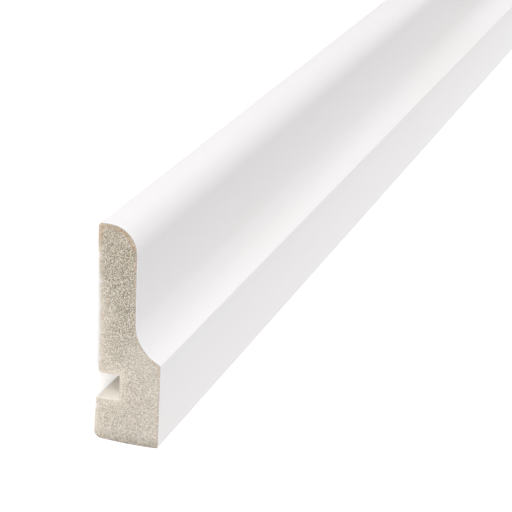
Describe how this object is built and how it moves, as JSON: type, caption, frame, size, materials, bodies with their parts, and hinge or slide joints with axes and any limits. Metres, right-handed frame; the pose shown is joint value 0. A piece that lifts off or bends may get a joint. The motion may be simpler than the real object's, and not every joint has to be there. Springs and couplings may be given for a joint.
{
  "type": "architrave",
  "caption": "Length of foamed plastic architrave: round nose, flat leaf, cove and thick square edge, with a hollowed, grooved back and a slot along it.",
  "frame": {"origin": "on the wall plane, under the middle of the face and of the length", "axes": "+X along the length, +Y across the face from the thick edge to the nose, +Z out from the wall"},
  "size_m": [2.1, 0.07, 0.0211],
  "materials": {
    "foamed_plastic": "satin white skin; the sawn ends show the speckled beige core"
  },
  "bodies": {
    "root": {"architrave_moulding": "foamed_plastic"}
  },
  "joints": []
}
